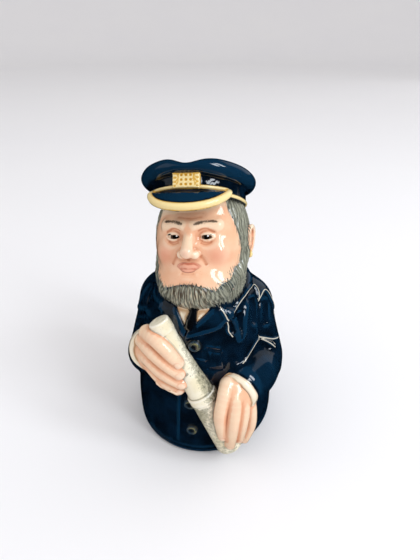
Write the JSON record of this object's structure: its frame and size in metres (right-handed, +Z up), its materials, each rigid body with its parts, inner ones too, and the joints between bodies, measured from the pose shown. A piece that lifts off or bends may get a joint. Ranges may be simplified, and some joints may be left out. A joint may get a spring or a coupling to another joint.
{
  "type": "toby jug",
  "caption": "Small glazed earthenware jug shaped as a bearded sea captain in a peaked cap and dark coat, holding a telescope; open at the cap, with a loop handle at the back.",
  "frame": {"origin": "middle of the flat underside, on the surface the jug stands on", "axes": "+Z up; the captain looks along -Y, so the handle is at +Y; +X is the captain's own left"},
  "size_m": [0.057, 0.0736, 0.1007],
  "materials": {
    "glazed_earthenware": null
  },
  "bodies": {
    "root": {"toby_jug": "glazed_earthenware"}
  },
  "joints": []
}
